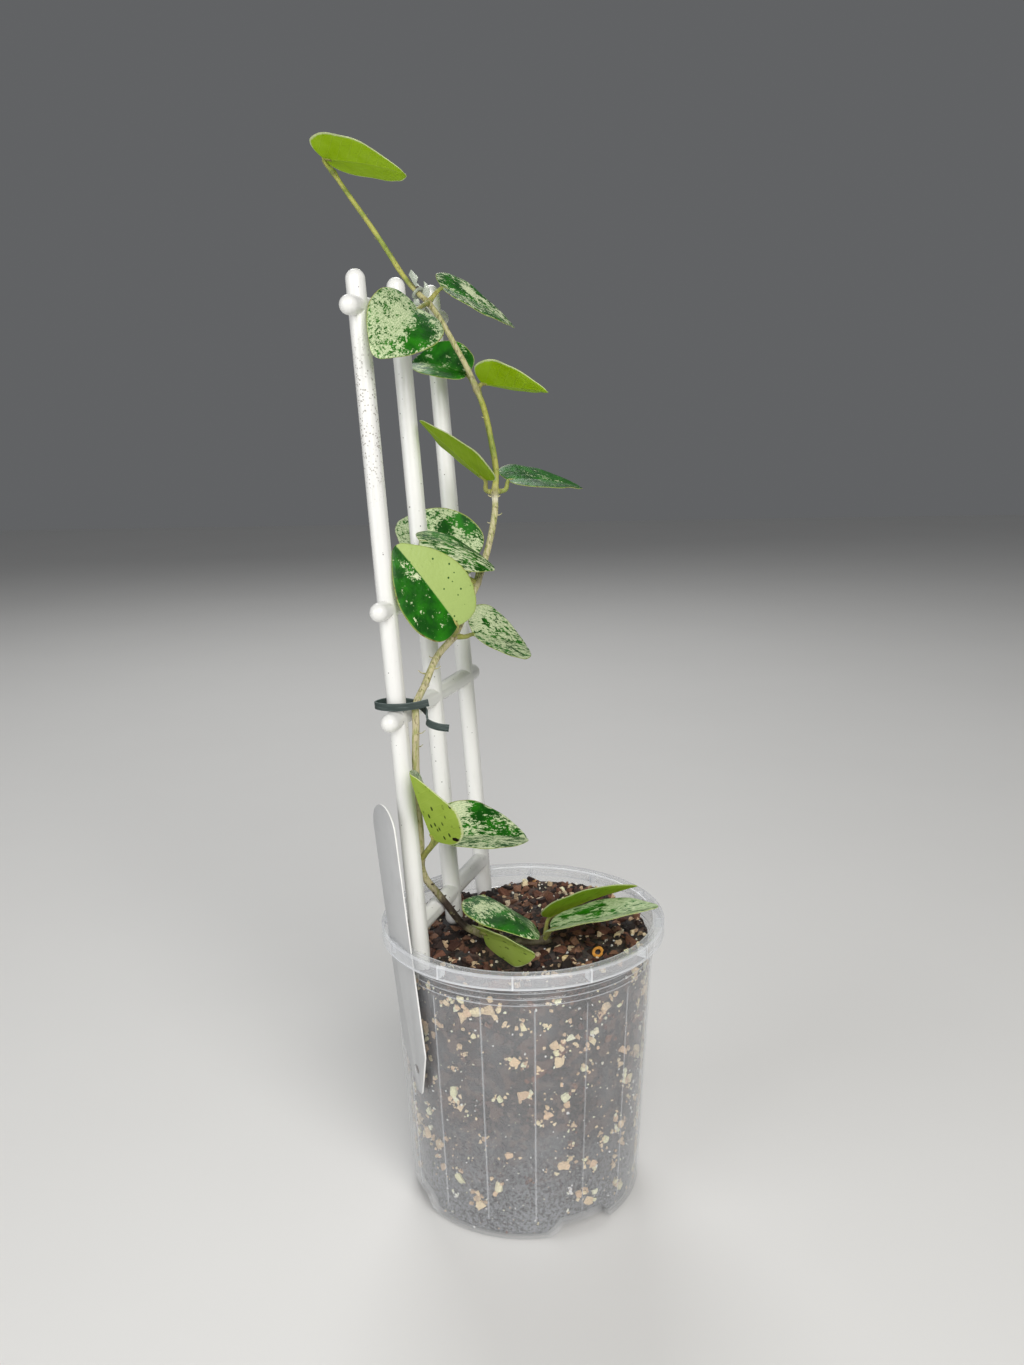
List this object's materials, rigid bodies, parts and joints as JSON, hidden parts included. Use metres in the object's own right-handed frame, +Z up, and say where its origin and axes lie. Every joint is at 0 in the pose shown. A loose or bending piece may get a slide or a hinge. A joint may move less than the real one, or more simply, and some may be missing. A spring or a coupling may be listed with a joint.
{
  "type": "potted hoya plant",
  "caption": "Variegated hoya vine trained up a white ladder trellis in a clear round plastic nursery pot, with a plain plant label, a strap tie and a small clip.",
  "frame": {"origin": "centre of the pot's flat underside, on the table", "axes": "+Z up along the trellis, -Y towards the picture's camera, +X to its right"},
  "size_m": [0.1432, 0.1406, 0.4448],
  "materials": {
    "pot_plastic": "clear, slightly milky moulded plastic",
    "potting_mix": null,
    "trellis_plastic": "white, glossy moulded plastic",
    "label_plastic": "white-grey satin sheet",
    "tie_strap": "dark green-black flat strap",
    "clip_plastic": "translucent grey-green plastic",
    "stem": "olive-yellow to grey-tan vine bark; stands in for a living stem",
    "leaf": "waxy dark green splashed with cream and silver; stands in for a living leaf"
  },
  "bodies": {
    "root": {"pot": "pot_plastic", "potting_mix": "potting_mix", "trellis": "trellis_plastic", "plant_label": "label_plastic", "plant_tie": "tie_strap", "top_clip": "clip_plastic", "vine_stem": "stem", "leaf_01": "leaf", "leaf_02": "leaf", "leaf_03": "leaf", "leaf_04": "leaf", "leaf_05": "leaf", "leaf_06": "leaf", "leaf_07": "leaf", "leaf_08": "leaf", "leaf_09": "leaf", "leaf_10": "leaf", "leaf_11": "leaf", "leaf_12": "leaf", "leaf_13": "leaf", "leaf_14": "leaf", "leaf_15": "leaf", "leaf_16": "leaf", "leaf_17": "leaf"}
  },
  "joints": []
}
